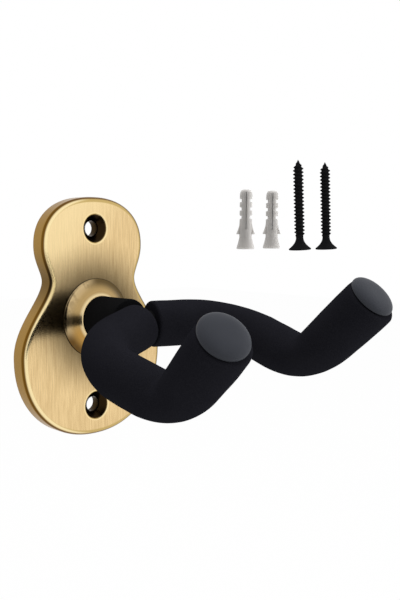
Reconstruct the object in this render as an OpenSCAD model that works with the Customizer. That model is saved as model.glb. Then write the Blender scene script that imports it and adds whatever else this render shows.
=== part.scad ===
// Wall guitar hanger: a guitar-shaped wall plate carries a foam-covered yoke on a swivel post.
// Millimetres, Z up. The wall is the plane y = 0 and the hanger stands out from it along -Y.
// The origin is on the swivel axis, at the wall. "Out" means away from the wall.
// Hanger pieces are drawn in [x, up, out] and turned upright by on_wall().

/* [Wall plate] */
// Height of the plate
plate_h = 95.4; // [93:0.2:105]
// Top of the plate above the swivel axis
plate_top = 47.85; // [46:0.05:49]
// Width of the upper bout
upper_w = 49.4; // [46:0.2:54]
// Widest line of the upper bout above the axis
upper_z = 28.8; // [26:0.2:31]
// Width of the waist
waist_w = 42.2; // [40:0.2:45]
// Narrowest line of the waist above the axis
waist_z = 15.2; // [13:0.2:18]
// Tightness of the curves next to the waist, 1 is a plain wave
waist_tight = 1.35; // [1:0.05:1.5]
// Width of the lower bout
lower_w = 68.6; // [62:0.2:74]
// Widest line of the lower bout below the axis
lower_drop = 14.2; // [10:0.2:17]
// Fullness of the top curve, 2 is an ellipse
top_full = 2.25; // [2:0.05:2.8]
// Fullness of the bottom curve, 2 is an ellipse
bottom_full = 2.15; // [2:0.05:2.8]
// Thickness of the plate
plate_t = 7; // [6.5:0.1:9]
// Rounding of the plate's front edge
edge_r = 1.9; // [1:0.1:2.5]

/* [Screw holes] */
// Distance between the two screw holes, set evenly about the axis
hole_spacing = 71; // [66:0.5:74]
// Diameter of the screw holes
hole_d = 6.3; // [5.4:0.1:7]
// Diameter of the countersink at the plate's face
sink_d = 11.2; // [10.8:0.1:12]

/* [Swivel] */
// Diameter of the boss where it meets the plate
boss_d = 31.6; // [28:0.2:34]
// Height of the boss above the plate
boss_h = 3.5; // [2.8:0.1:5]
// Thickness of the boss's edge
boss_edge = 0.3; // [0.2:0.1:0.8]
// Width of the thin ring round the foot of the boss's cone
boss_ring = 0.6; // [0.3:0.1:1.4]
// Radius of the hollow between that ring and the cone
ring_fillet = 1.5; // [0.8:0.1:2]
// Radius of the hollow between the cone and the lip at its top
lip_fillet = 0.3; // [0.2:0.1:0.6]
// Height of the upright part of that lip
boss_lip = 0.1; // [0.1:0.1:0.4]
// Width of the flat ring on top of the boss
boss_flat = 1.5; // [0.8:0.1:2]
// Diameter of the boss's spigot in the plate
spigot_d = 21; // [20:0.1:23]
// Width of the spigot's rolled-over rear lip
lip_w = 1; // [0.6:0.1:1.4]
// Diameter of the recess for the nut, open at the back
recess_d = 17; // [16.2:0.1:18]
// Thickness of the boss's wall between bush flange and washers
web_t = 2.6; // [2:0.1:3.5]
// Depth of the nut below the back of the plate
nut_depth = 0.4; // [0.2:0.1:0.6]
// Diameter of the post's journal
journal_d = 10; // [9:0.1:11]
// Wall of the nylon bush
bush_wall = 1.5; // [1:0.1:2]
// Diameter of the bush's flange
flange_d = 15; // [14.2:0.1:15.6]
// Thickness of the bush's flange
flange_t = 1; // [0.8:0.1:1.4]
// Thread at the rear of the post
thread_d = 8; // [7:0.5:8]
// Size of the nut across its flats
nut_flats = 13; // [12:0.1:13.5]
// Diameter of both washers
washer_d = 15; // [14:0.1:15.8]
// Thickness of the flat washer
washer_t = 0.8; // [0.6:0.1:1]
// Thickness of the disc spring
spring_t = 0.5; // [0.4:0.05:0.6]
// Dish of the disc spring, which is what the nut squeezes
spring_dish = 0.4; // [0.2:0.05:0.6]
// Radial clearance of the journal in the bush
journal_gap = 0.05; // [0.03:0.01:0.1]
// Clearance between faces that turn past each other
turn_gap = 0.1; // [0.05:0.05:0.3]

/* [Yoke bar] */
// Diameter of the steel post
post_d = 12; // [11:0.1:13]
// Diameter of the post's neck, between the ends of the arm sleeves
neck_d = 8.4; // [7.4:0.1:8.6]
// Diameter of the bent bar
bar_d = 10; // [9:0.1:11]
// Middle of the yoke out from the wall
yoke_out = 36; // [34:0.5:46]
// Outer bend of each arm: half the spacing of the two
shoulder_half = 35.3; // [33:0.1:40]
// Outer bend of each arm: further out than the yoke's middle
shoulder_fwd = 10.5; // [9:0.1:13]
// Outer bend of each arm: below the axis
shoulder_drop = 3.5; // [2:0.1:5]
// Lowest bend of each arm: half the spacing of the two
heel_half = 31.7; // [31:0.1:36]
// Lowest bend of each arm: further out than the yoke's middle
heel_fwd = 49.7; // [48:0.1:54]
// Lowest bend of each arm: below the axis
heel_drop = 15.2; // [13:0.1:17]
// Tip of each arm: half the spacing of the two
tip_half = 35.3; // [34:0.1:40]
// Tip of each arm: further out than the yoke's middle
tip_fwd = 74.8; // [73:0.1:80]
// Tip of each arm: above the axis
tip_rise = 9.6; // [6:0.1:12]
// Radius of the bend in the yoke's middle
apex_bend = 8; // [7:0.5:8.5]
// Radius of the outer bends
shoulder_bend = 23.5; // [20:0.5:25]
// Radius of the lowest bends
heel_bend = 20; // [18:0.5:22]
// Turn of the yoke on its swivel, in degrees, as photographed
yoke_turn = 5.6; // [-15:0.2:15]

/* [Foam and caps] */
// Diameter of the sleeve on the post
post_sleeve_d = 18; // [15.5:0.1:19]
// Diameter of the sleeves on the arms
sleeve_d = 17.5; // [16.6:0.1:19]
// Bend of the foam's middle on the outside of the outer bends
shoulder_wide = 25.7; // [25:0.1:27]
// Bend of the foam's middle on the inside of the outer bends, where it is pushed together
shoulder_tight = 21.8; // [18:0.1:24]
// Bend of the foam's middle on the outside of the lowest bends
heel_wide = 26.5; // [22:0.1:28]
// Bend of the foam's middle on the inside of the lowest bends, where it is pushed together
heel_tight = 13; // [11.5:0.1:20]
// Gap between the two arm sleeves, in the inside of the yoke
sleeve_gap = 0.6; // [0.4:0.1:2]
// Rounding of a sleeve's cut end
foam_round = 1; // [0.4:0.1:1.6]
// Gap between the boss and the sleeve on the post
boss_gap = 0.3; // [0.3:0.1:1]
// Thickness of a cap's rim
cap_rim = 0.7; // [0.5:0.1:1.5]
// Crown of a cap above its rim
cap_crown = 2.2; // [0.8:0.1:2.6]
// Diameter of a cap, a little less than the foam's
cap_d = 16.2; // [14:0.1:17.4]
// Diameter of a cap's stem
stem_d = 5; // [4:0.1:6]
// Length of a cap's stem
stem_l = 8; // [5:0.5:12]

/* [Screws] */
// Length of a screw
screw_l = 45; // [38:0.5:50]
// Outer diameter of the screw thread
screw_d = 5.2; // [4:0.1:5.4]
// Core diameter of the screw thread
core_d = 3.7; // [3:0.1:3.8]
// Diameter of the screw head
head_d = 11.1; // [9:0.1:11.2]
// Height of the flared head
head_h = 6.5; // [4.5:0.1:7]
// Thickness of the rim round the head
head_rim = 0.8; // [0.4:0.1:1]
// Hollow of the flare under a screw's head, 1 is a straight cone
head_flare = 1.5; // [1:0.1:2.2]
// Length of the crossed slots in the head
slot_l = 5; // [4:0.1:6]
// Width of the crossed slots in the head
slot_w = 1.1; // [0.8:0.1:1.4]
// Depth of the crossed slots in the head
slot_h = 2.4; // [1.5:0.1:2.8]
// Pitch of the thread
pitch = 1.8; // [1.4:0.05:2.2]
// Length of the pointed end
point_l = 4; // [3:0.1:5]

/* [Plugs] */
// Length of a plug
plug_l = 28; // [26:0.5:32]
// Diameter of a plug's body
plug_d = 5.9; // [5.4:0.1:6.6]
// Diameter of a plug's foot
plug_foot_d = 8.1; // [7.2:0.1:9]
// Height of the foot, up to the plug's body
plug_foot_h = 5.6; // [4:0.1:6.2]
// Thickness of the foot's rim
plug_rim = 0.6; // [0.4:0.1:1]
// Length of the straight part below the nose
nose_l = 1.5; // [1:0.1:2]
// Depth of a notch
notch_depth = 0.9; // [0.5:0.1:1.2]
// Height of a notch
notch_h = 1.5; // [1:0.1:1.8]
// Height of the rib between two notches
rib_h = 2.4; // [1.5:0.1:2.6]
// Width of a plug's slit
slit_w = 0.6; // [0.5:0.1:1]
// Start of the slit above the foot's underside
slit_from = 9.2; // [6:0.1:12]
// Underside of the barbs above the foot's underside
barb_from = 6.7; // [6.3:0.1:8]
// Height of a barb
barb_h = 4.5; // [3:0.1:6]
// Reach of a barb beyond the body
barb_reach = 1.4; // [0.8:0.1:1.6]
// Thickness of a barb's tip
barb_tip = 0.6; // [0.4:0.1:1]
// Width of a barb
barb_w = 2; // [1.2:0.1:3]
// Turn of a plug about its own length, in degrees
plug_turn = -41; // [-60:1:60]

/* [Set of plugs and screws] */
// First plug, to the right of the axis
plug_x = 91.6; // [60:0.1:110]
// Spacing of the two plugs
plug_step = 19; // [12:0.1:24]
// Underside of the plugs' feet above the axis
plug_z = 25.8; // [0:0.1:50]
// From the second plug to the first screw
screw_from_plug = 20.8; // [15:0.1:30]
// Spacing of the two screws
screw_step = 22.1; // [14:0.1:26]
// Underside of the screws' heads above the axis
screw_z = 24.8; // [0:0.1:50]
// Lean of the screws to the left, in degrees, as photographed
screw_lean = 4; // [-4:0.5:8]

/* [Hidden] */
$fn = 72;
tube_sides = 24;
bend_step = 12;
// How far a cut runs past the face it opens
past = 1;

// Colours
brass = [0.80, 0.66, 0.42];
steel = [0.62, 0.63, 0.65];
black = [0.12, 0.12, 0.14];
grey = [0.34, 0.35, 0.38];
nylon = [0.92, 0.91, 0.88];
pale = [0.70, 0.70, 0.69];

// Radii
bar_r = bar_d / 2;
post_r = post_d / 2;
sleeve_r = sleeve_d / 2;
cap_r = cap_d / 2;
spigot_r = spigot_d / 2;
recess_r = recess_d / 2;
bush_r = journal_d / 2 + journal_gap + bush_wall;
flange_r = flange_d / 2;

// Places along the swivel axis, out from the wall
boss_top = plate_t + boss_h;
flange_seat = boss_top - flange_t;
recess_floor = flange_seat - web_t;
washer_seat = recess_floor - turn_gap;
spring_seat = washer_seat - washer_t;
nut_seat = spring_seat - spring_t - spring_dish;
shoulder_at = boss_top + turn_gap;
post_sleeve_from = boss_top + boss_gap;

// Corners of the bar's path, for the right arm, in [x, up, out]
apex = [0, 0, yoke_out];
shoulder = [shoulder_half, -shoulder_drop, yoke_out + shoulder_fwd];
heel = [heel_half, -heel_drop, yoke_out + heel_fwd];
tip = [tip_half, tip_rise, yoke_out + tip_fwd];

// The arm sleeves are cut square, so they meet first in the inside of the yoke
arm_way = unit(shoulder - apex);
half_open = acos(arm_way.x);
sleeve_start = sleeve_r * tan(half_open) + sleeve_gap / 2 / cos(half_open);
sleeve_from = apex + arm_way * sleeve_start;
// The post's sleeve stops behind them
post_sleeve_to = yoke_out - sleeve_r * cos(half_open) + sleeve_start * sin(half_open) - boss_gap;

function unit(v) = v / norm(v);
function mirrored(p) = [-p.x, p.y, p.z];
function ease(t) = (1 - cos(180 * t)) / 2;
function oval(a, full) = [pow(abs(cos(a)), 2 / full), pow(abs(sin(a)), 2 / full)];

// Turn of a path at b, and how far before b a bend of radius r begins
function turn(a, b, c) = acos(unit(b - a) * unit(c - b));
function setback(a, b, c, r) = r * tan(turn(a, b, c) / 2);

// Plate outline, clockwise from the top: bout, waist, bout and bottom of the right side, mirrored
steps = 16;
plate_bottom = plate_top - plate_h;
right_side = concat(
    [for (i = [0:steps]) let (o = oval(90 - 90 * i / steps, top_full))
        [upper_w / 2 * o.x, upper_z + (plate_top - upper_z) * o.y]],
    [for (i = [1:steps]) let (t = i / steps)
        [
            upper_w / 2 + (waist_w - upper_w) / 2 * ease(t),
            waist_z + (upper_z - waist_z) * pow(1 - t, waist_tight)
        ]],
    [for (i = [1:steps]) let (t = i / steps)
        [
            waist_w / 2 + (lower_w - waist_w) / 2 * ease(t),
            waist_z - (waist_z + lower_drop) * pow(t, waist_tight)
        ]],
    [for (i = [1:steps]) let (o = oval(90 * i / steps, bottom_full))
        [lower_w / 2 * o.x, -lower_drop + (plate_bottom + lower_drop) * o.y]]
);
left_side = [for (i = [len(right_side) - 2:-1:1]) [-right_side[i].x, right_side[i].y]];
outline = concat(right_side, left_side);
count = len(outline);

// Half sides of the plain field in the plate's flat faces, clear of all three holes
field_half = spigot_r + lip_w + 1.5;
field_up = (hole_spacing + sink_d) / 2 + 0.6;

// The outline drawn inwards by d, at one point
function inset(i, d) =
    let (t = unit(outline[(i + 1) % count] - outline[(i + count - 1) % count]))
    outline[i] + d * [t.y, -t.x];

module on_wall() {
    rotate([90, 0, 0]) children();
}

module on_yoke() {
    on_wall() rotate([0, 0, yoke_turn]) children();
}

module place(o, x, y, z) {
    multmatrix([
        [x.x, y.x, z.x, o.x],
        [x.y, y.y, z.y, o.y],
        [x.z, y.z, z.z, o.z],
        [0, 0, 0, 1]
    ]) children();
}

// A frame at p whose z axis runs along v
module along(p, v) {
    z = unit(v);
    x = unit(cross([0, 1, 0], z));
    place(p, x, cross(z, x), z) children();
}

module ring(outer_r, inner_r) {
    difference() {
        circle(outer_r);
        if (inner_r > 0) circle(inner_r);
    }
}

// Stations along a path, with a bend at each inner corner
// Each has its place, its direction and the way to the inside of the bend
function bend(a, b, c, r) =
    let (
        ahead = unit(b - a),
        inward = cross(unit(cross(ahead, unit(c - b))), ahead),
        centre = b - ahead * setback(a, b, c, r) + inward * r,
        total = turn(a, b, c),
        parts = ceil(total / bend_step)
    )
    [for (i = [0:parts]) let (t = total * i / parts)
        [
            centre + r * (sin(t) * ahead - cos(t) * inward),
            cos(t) * ahead + sin(t) * inward,
            cos(t) * inward - sin(t) * ahead
        ]];

function stations(path, bends) =
    let (
        last = len(path) - 1,
        bent = [for (i = [1:last - 1]) each bend(path[i - 1], path[i], path[i + 1], bends[i - 1])]
    )
    concat(
        [[path[0], unit(path[1] - path[0]), bent[0][2]]],
        bent,
        [[path[last], unit(path[last] - path[last - 1]), bent[len(bent) - 1][2]]]
    );

// Ring of points of radius r round a station
function ring_at(station, r) =
    let (side = unit(cross([0, 1, 0], station[1])), lift = cross(station[1], side))
    [for (i = [0:tube_sides - 1]) let (a = 360 * i / tube_sides)
        station[0] + r * (cos(a) * side + sin(a) * lift)];

// Ring of foam: its points take their centre from the wide run on the outside of a bend
// and from the tight run on the inside, so the foam is flattened there
function foam_ring(wide, tight, r) =
    let (side = unit(cross([0, 1, 0], wide[1])), lift = cross(wide[1], side))
    [for (i = [0:tube_sides - 1]) let (
        a = 360 * i / tube_sides,
        way = cos(a) * side + sin(a) * lift,
        lean = ease((way * wide[2] + 1) / 2)
    ) wide[0] + (tight[0] - wide[0]) * lean + r * way];

// Faces of a skin over rings numbered from first, wound to face outwards
function skin(first, rings) =
    [for (j = [0:rings - 2], i = [0:tube_sides - 1]) let (
        a = first + j * tube_sides + i,
        b = first + j * tube_sides + (i + 1) % tube_sides
    ) each [[a, b + tube_sides, b], [a, a + tube_sides, b + tube_sides]]];

// Solid bar along stations
module bar_along(run, r) {
    last = (len(run) - 1) * tube_sides;
    ends = [
        [for (i = [0:tube_sides - 1]) i],
        [for (i = [tube_sides - 1:-1:0]) last + i]
    ];
    polyhedron([for (s = run) each ring_at(s, r)], concat(ends, skin(0, len(run))));
}

// Foam tube round a bore, with its first end rounded a little
module sleeve_along(wide, tight, bore, outer_r, inner_r, round) {
    start = wide[0];
    outer = concat(
        [ring_at(start, outer_r - round), ring_at([start[0] + start[1] * round, start[1]], outer_r)],
        [for (i = [1:len(wide) - 1]) foam_ring(wide[i], tight[i], outer_r)]
    );
    inner = [for (i = [len(bore) - 1:-1:0]) ring_at(bore[i], inner_r)];
    loop = concat(outer, inner, [outer[0]]);
    rings = len(loop);
    wrap = (rings - 1) * tube_sides;
    polyhedron(
        [for (i = [0:rings - 2]) each loop[i]],
        [for (f = skin(0, rings)) [for (v = f) v % wrap]]
    );
}

// One flat face of the plate: four fans round a plain field that holds all three holes
// The outline's points are numbered from first, the field's corners from corner
function flat_face(first, corner) =
    let (quarter = count / 4)
    concat(
        [for (q = [0:3], i = [0:quarter - 1])
            [corner + q, first + q * quarter + i, first + (q * quarter + i + 1) % count]],
        [for (q = [0:3]) [corner + (q + 3) % 4, first + q * quarter, corner + q]],
        [[for (q = [0:3]) corner + q]]
    );

function flipped(faces) = [for (f = faces) [for (i = [len(f) - 1:-1:0]) f[i]]];

// Plate with a rounded front edge, before its holes
module plate_blank() {
    arcs = 5;
    layers = concat([[0, 0]], [for (i = [0:arcs]) let (a = 90 * i / arcs)
        [edge_r * (1 - cos(a)), plate_t - edge_r + edge_r * sin(a)]]);
    rims = [for (l = layers, i = [0:count - 1]) let (p = inset(i, l[0])) [p.x, p.y, l[1]]];
    fields = [for (h = [0, plate_t], c = [[1, 1], [1, -1], [-1, -1], [-1, 1]])
        [c.x * field_half, c.y * field_up, h]];
    front = (len(layers) - 1) * count;
    sides = [for (j = [0:len(layers) - 2], i = [0:count - 1]) let (
        a = j * count + i,
        b = j * count + (i + 1) % count
    ) each [[a, b, b + count], [a, b + count, a + count]]];
    polyhedron(
        concat(rims, fields),
        concat(
            sides,
            flipped(flat_face(0, len(rims))),
            flat_face(front, len(rims) + len(fields) / 2)
        )
    );
}

module screw_hole() {
    sink_h = (sink_d - hole_d) / 2;
    translate([0, 0, -past]) cylinder(d = hole_d, h = plate_t + 2 * past);
    translate([0, 0, plate_t - sink_h])
        cylinder(d1 = hole_d, d2 = sink_d + 2 * past, h = sink_h + past);
}

module wall_plate() {
    color(brass) on_wall() difference() {
        plate_blank();
        for (side = [-1, 1]) translate([0, side * hole_spacing / 2, 0]) screw_hole();
        translate([0, 0, -past]) cylinder(r = spigot_r, h = plate_t + 2 * past);
        translate([0, 0, -past]) cylinder(r1 = spigot_r + lip_w + past, r2 = spigot_r, h = lip_w + past);
    }
}

// Low boss: a thin ring, a cone with a lip round the post, and a spigot rolled over behind the plate
module boss_collar() {
    arcs = 5;
    lip_back = nut_depth / 2;
    lip_r = flange_r + turn_gap + boss_flat;
    lip_at = boss_top - boss_lip;
    ring_r = boss_d / 2 - boss_ring;
    edge_at = plate_t + boss_edge;
    rise = lip_at - edge_at - ring_fillet;
    run = ring_r - lip_r - lip_fillet;
    steep = atan2(rise, run) + asin((ring_fillet - lip_fillet) / norm([rise, run]));
    cone_foot = [for (i = [0:arcs]) let (a = steep * i / arcs)
        [ring_r - ring_fillet * sin(a), edge_at + ring_fillet * (1 - cos(a))]];
    cone_lip = [for (i = [0:arcs]) let (a = steep + (90 - steep) * i / arcs)
        [lip_r + lip_fillet * (1 - sin(a)), lip_at - lip_fillet * cos(a)]];
    color(brass) on_wall() rotate_extrude() polygon(concat(
        [
            [recess_r, lip_back],
            [spigot_r + lip_w - lip_back, lip_back],
            [spigot_r, lip_w],
            [spigot_r, plate_t],
            [boss_d / 2, plate_t],
            [boss_d / 2, edge_at]
        ],
        cone_foot,
        cone_lip,
        [
            [lip_r, boss_top],
            [flange_r + turn_gap, boss_top],
            [flange_r + turn_gap, flange_seat],
            [bush_r, flange_seat],
            [bush_r, recess_floor],
            [recess_r, recess_floor]
        ]
    ));
}

module swivel_bushing() {
    bore_r = journal_d / 2 + journal_gap;
    color(nylon) on_wall() rotate_extrude() polygon([
        [bore_r, recess_floor],
        [bush_r, recess_floor],
        [bush_r, flange_seat],
        [flange_r, flange_seat],
        [flange_r, boss_top],
        [bore_r, boss_top]
    ]);
}

module bar_blank() {
    corners = [mirrored(tip), mirrored(heel), mirrored(shoulder), apex, shoulder, heel, tip];
    bends = [heel_bend, shoulder_bend, apex_bend, shoulder_bend, heel_bend];
    bar_along(stations(corners, bends), bar_r);
}

// Steel post: thread, journal, body and neck, coped to the bar that is welded to its end
module swivel_post() {
    chamfer = 0.6;
    cope = 2;
    color(black) on_yoke() difference() {
        rotate_extrude() polygon([
            [0, nut_depth],
            [thread_d / 2 - chamfer, nut_depth],
            [thread_d / 2, nut_depth + chamfer],
            [thread_d / 2, washer_seat],
            [journal_d / 2, washer_seat],
            [journal_d / 2, shoulder_at],
            [post_r, shoulder_at],
            [post_r, post_sleeve_to],
            [neck_d / 2, post_sleeve_to],
            [neck_d / 2, yoke_out - cope],
            [0, yoke_out - cope]
        ]);
        bar_blank();
    }
}

module flat_washer() {
    color(steel) on_yoke() translate([0, 0, spring_seat])
        linear_extrude(washer_t) ring(washer_d / 2, thread_d / 2);
}

// Dished ring: its rim bears on the washer and its bore on the nut
module spring_washer() {
    color(steel) on_yoke() rotate_extrude() polygon([
        [thread_d / 2, nut_seat],
        [washer_d / 2, nut_seat + spring_dish],
        [washer_d / 2, spring_seat],
        [thread_d / 2, nut_seat + spring_t]
    ]);
}

module lock_nut() {
    corner_r = nut_flats / 2 / cos(30);
    chamfer = corner_r - nut_flats / 2;
    color(steel) on_yoke() difference() {
        intersection() {
            translate([0, 0, nut_depth]) linear_extrude(nut_seat - nut_depth) circle(corner_r, $fn = 6);
            rotate_extrude() polygon([
                [0, nut_depth],
                [corner_r - chamfer, nut_depth],
                [corner_r, nut_depth + chamfer / 2],
                [corner_r, nut_seat],
                [0, nut_seat]
            ]);
        }
        cylinder(d = thread_d, h = nut_seat + past);
    }
}

module yoke_bar() {
    color(black) on_yoke() difference() {
        bar_blank();
        for (end = [[heel, tip], [mirrored(heel), mirrored(tip)]]) {
            way = unit(end[1] - end[0]);
            along(end[1] - way * stem_l, way) cylinder(d = stem_d, h = stem_l + past);
        }
    }
}

module post_sleeve() {
    color(black) on_yoke() translate([0, 0, post_sleeve_from])
        linear_extrude(post_sleeve_to - post_sleeve_from) ring(post_sleeve_d / 2, post_r);
}

module arm_sleeve() {
    path = [sleeve_from, shoulder, heel, tip];
    wide = stations(path, [shoulder_wide, heel_wide]);
    tight = stations(path, [shoulder_tight, heel_tight]);
    bore = stations(path, [shoulder_bend, heel_bend]);
    sleeve_along(wide, tight, bore, sleeve_r, bar_r, foam_round);
}

module right_arm_sleeve() {
    color(black) on_yoke() arm_sleeve();
}

module left_arm_sleeve() {
    color(black) on_yoke() mirror([1, 0, 0]) arm_sleeve();
}

// Domed cap with a stem in the end of the bar
module end_cap() {
    arcs = 8;
    ball_r = (cap_r * cap_r + cap_crown * cap_crown) / (2 * cap_crown);
    spread = asin(cap_r / ball_r);
    crown = [for (i = [0:arcs]) let (a = spread * (1 - i / arcs))
        [ball_r * sin(a), cap_rim + cap_crown - ball_r * (1 - cos(a))]];
    along(tip, tip - heel) rotate_extrude() polygon(concat(
        [[0, -stem_l], [stem_d / 2, -stem_l], [stem_d / 2, 0], [cap_r, 0]],
        crown
    ));
}

module right_end_cap() {
    color(grey) on_yoke() end_cap();
}

module left_end_cap() {
    color(grey) on_yoke() mirror([1, 0, 0]) end_cap();
}

// Screw standing on its head: flared head, ridged shank, point
module wall_screw() {
    arcs = 6;
    thread_to = screw_l - point_l;
    ridges = floor((thread_to - head_h) / pitch);
    flare = [for (i = [0:arcs]) let (t = i / arcs)
        [core_d / 2 + (head_d - core_d) / 2 * pow(1 - t, head_flare), head_rim + (head_h - head_rim) * t]];
    thread = [for (i = [0:ridges - 1]) let (z = head_h + (i + 0.5) * pitch)
        each [[core_d / 2, z - pitch / 4], [screw_d / 2, z], [core_d / 2, z + pitch / 4]]];
    difference() {
        rotate_extrude() polygon(concat(
            [[0, 0], [head_d / 2, 0]],
            flare,
            thread,
            [[core_d / 2, thread_to], [0, screw_l]]
        ));
        for (a = [0, 90]) rotate([0, 0, a])
            translate([-slot_l / 2, -slot_w / 2, -past]) cube([slot_l, slot_w, slot_h + past]);
    }
}

// Plug standing on its foot: flared foot, two barbs, notched body, round nose, slit
module wall_plug() {
    arcs = 6;
    body_r = plug_d / 2;
    nose_from = plug_l - body_r;
    tops = [for (i = [0:2]) nose_from - nose_l - i * (notch_h + rib_h)];
    notches = [for (i = [2:-1:0]) each [
        [body_r, tops[i] - notch_h],
        [body_r - notch_depth, tops[i] - notch_h],
        [body_r - notch_depth, tops[i]],
        [body_r, tops[i]]
    ]];
    nose = [for (i = [0:arcs]) let (a = 90 * i / arcs)
        [body_r * cos(a), nose_from + body_r * sin(a)]];
    foot = [[0, 0], [plug_foot_d / 2, 0], [plug_foot_d / 2, plug_rim], [body_r, plug_foot_h]];
    difference() {
        union() {
            rotate_extrude() polygon(concat(foot, notches, nose));
            for (side = [0, 1]) mirror([side, 0, 0]) barb();
        }
        translate([-slit_w / 2, -plug_d, slit_from]) cube([slit_w, 2 * plug_d, plug_l]);
    }
}

// Springy barb on the side of a plug, rooted inside its body
module barb() {
    body_r = plug_d / 2;
    root_r = body_r - 0.6;
    rotate([90, 0, 0]) translate([0, 0, -barb_w / 2]) linear_extrude(barb_w) polygon([
        [root_r, barb_from + barb_h],
        [root_r, barb_from + barb_h / 4],
        [body_r + barb_reach - barb_tip / 3, barb_from],
        [body_r + barb_reach, barb_from + barb_tip]
    ]);
}

module wall_plugs() {
    color(pale) for (i = [0, 1])
        translate([plug_x + i * plug_step, -plug_foot_d / 2, plug_z])
            rotate([0, 0, plug_turn]) wall_plug();
}

module wall_screws() {
    color(black) for (i = [0, 1])
        translate([plug_x + plug_step + screw_from_plug + i * screw_step, -head_d / 2, screw_z])
            rotate([0, -screw_lean, 0]) wall_screw();
}

wall_plate();
boss_collar();
swivel_bushing();
swivel_post();
flat_washer();
spring_washer();
lock_nut();
yoke_bar();
post_sleeve();
left_arm_sleeve();
right_arm_sleeve();
left_end_cap();
right_end_cap();
wall_screws();
wall_plugs();
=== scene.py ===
# %% [markdown]
# # A wall guitar hanger
# A brass plate with the outline of a guitar is screwed to a wall. A post turns in its middle and
# carries a bent bar, covered with black foam, that holds an instrument under its headstock.
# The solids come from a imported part. This lesson dresses them: it builds finer meshes where the
# eye looks and gives every piece a finish made from nodes.

# %% The frame
import math

import bmesh
import bpy
import numpy as np
from mathutils import Matrix, Vector, noise


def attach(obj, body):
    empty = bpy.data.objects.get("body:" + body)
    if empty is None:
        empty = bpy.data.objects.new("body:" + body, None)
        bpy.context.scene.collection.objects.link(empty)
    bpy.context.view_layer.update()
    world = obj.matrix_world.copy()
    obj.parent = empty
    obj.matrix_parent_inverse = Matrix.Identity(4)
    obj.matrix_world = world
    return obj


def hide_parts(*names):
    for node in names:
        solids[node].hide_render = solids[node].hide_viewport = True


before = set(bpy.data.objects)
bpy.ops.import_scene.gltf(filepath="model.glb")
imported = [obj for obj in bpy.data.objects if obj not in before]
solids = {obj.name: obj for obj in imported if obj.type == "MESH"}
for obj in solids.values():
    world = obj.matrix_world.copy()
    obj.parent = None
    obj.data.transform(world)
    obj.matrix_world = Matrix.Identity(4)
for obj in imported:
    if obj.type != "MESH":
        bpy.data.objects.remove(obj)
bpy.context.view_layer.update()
scene = bpy.context.scene
scene.view_settings.view_transform = "Standard"
print("solids:", sorted(solids))

# %% [markdown]
# ## The camera
# The picture was taken from the left and a little above, quite close, so the near arm looks much
# larger than the far one. A camera is three things: where it stands, which way it looks, and its
# lens. The lens is given here by its focal length in pixels of the 400 x 600 picture, which turns
# into millimetres through the 36 mm sensor. The picture is cropped off-centre, and the camera's
# shift says by how much, so that nothing has to be turned to make up for it.

# %% The camera
PICTURE = (400, 600)
SENSOR = 36.0
FOCAL = 784.85
OPTICAL_AXIS = (150.43, 320.59)
AZIMUTH, ELEVATION = math.radians(-41.333), math.radians(6.678)
STANDS_AT = Vector((-0.18982, -0.25581, 0.03542))

lens = bpy.data.cameras.new("camera")
lens.sensor_width = SENSOR
lens.lens = FOCAL / PICTURE[1] * SENSOR
lens.shift_x = (PICTURE[0] / 2 - OPTICAL_AXIS[0]) / PICTURE[1]
lens.shift_y = (OPTICAL_AXIS[1] - PICTURE[1] / 2) / PICTURE[1]
lens.clip_start, lens.clip_end = 0.01, 20
camera = bpy.data.objects.new("camera", lens)
scene.collection.objects.link(camera)
backwards = Vector((
    math.sin(AZIMUTH) * math.cos(ELEVATION),
    -math.cos(AZIMUTH) * math.cos(ELEVATION),
    math.sin(ELEVATION),
))
camera.location = STANDS_AT
camera.rotation_euler = (-backwards).to_track_quat("-Z", "Y").to_euler()
scene.camera = camera
print(f"lens {lens.lens:.1f} mm, shift {lens.shift_x:.3f}, {lens.shift_y:.3f}")

# %% [markdown]
# ## Drawing in the wall's own directions
# Everything on the hanger is drawn as the maker would draw it on the wall: x to the right, up,
# and out from the wall, in millimetres. One matrix stands such a drawing up in the room, and a
# second one also gives it the small turn that the yoke has on its swivel in the picture.

# %% From drawing to room
MM, WELD = 0.001, 1e-7
YOKE_TURN = math.radians(5.6)
ON_WALL = Matrix.Rotation(math.radians(90), 4, "X")
ON_YOKE = ON_WALL @ Matrix.Rotation(YOKE_TURN, 4, "Z")
print(f"the yoke is turned by {math.degrees(YOKE_TURN):.1f} degrees on its swivel")


def piece(name, mesh_parts, stand=Matrix.Identity(4), sharp=32, in_room=False):
    """A smooth-shaded piece from points in millimetres and faces; in_room bakes the matrix in."""
    points, faces = mesh_parts
    mesh = bpy.data.meshes.new(name)
    mesh.from_pydata([[MM * c for c in p] for p in points], [], [list(f) for f in faces])
    made = bmesh.new()
    made.from_mesh(mesh)
    bmesh.ops.remove_doubles(made, verts=made.verts, dist=WELD)
    bmesh.ops.dissolve_degenerate(made, edges=made.edges, dist=WELD)
    bmesh.ops.recalc_face_normals(made, faces=made.faces)
    made.to_mesh(mesh)
    made.free()
    if in_room:
        mesh.transform(stand)
    mesh.shade_smooth()
    mesh.set_sharp_from_angle(angle=math.radians(sharp))
    new = bpy.data.objects.new(name, mesh)
    scene.collection.objects.link(new)
    if not in_room:
        new.matrix_world = stand
    print(f"{name}: {len(mesh.vertices)} points, {len(mesh.polygons)} faces")
    return new


def joined(rows, closed=False):
    """Faces between rows of point numbers, each row a ring."""
    faces = []
    for row, above in zip(rows, rows[1:] + (rows[:1] if closed else [])):
        for i in range(len(row)):
            j = (i + 1) % len(row)
            corners = [row[i], row[j], above[j], above[i]]
            faces.append(list(dict.fromkeys(corners)))
    return [f for f in faces if len(f) > 2]


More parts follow.
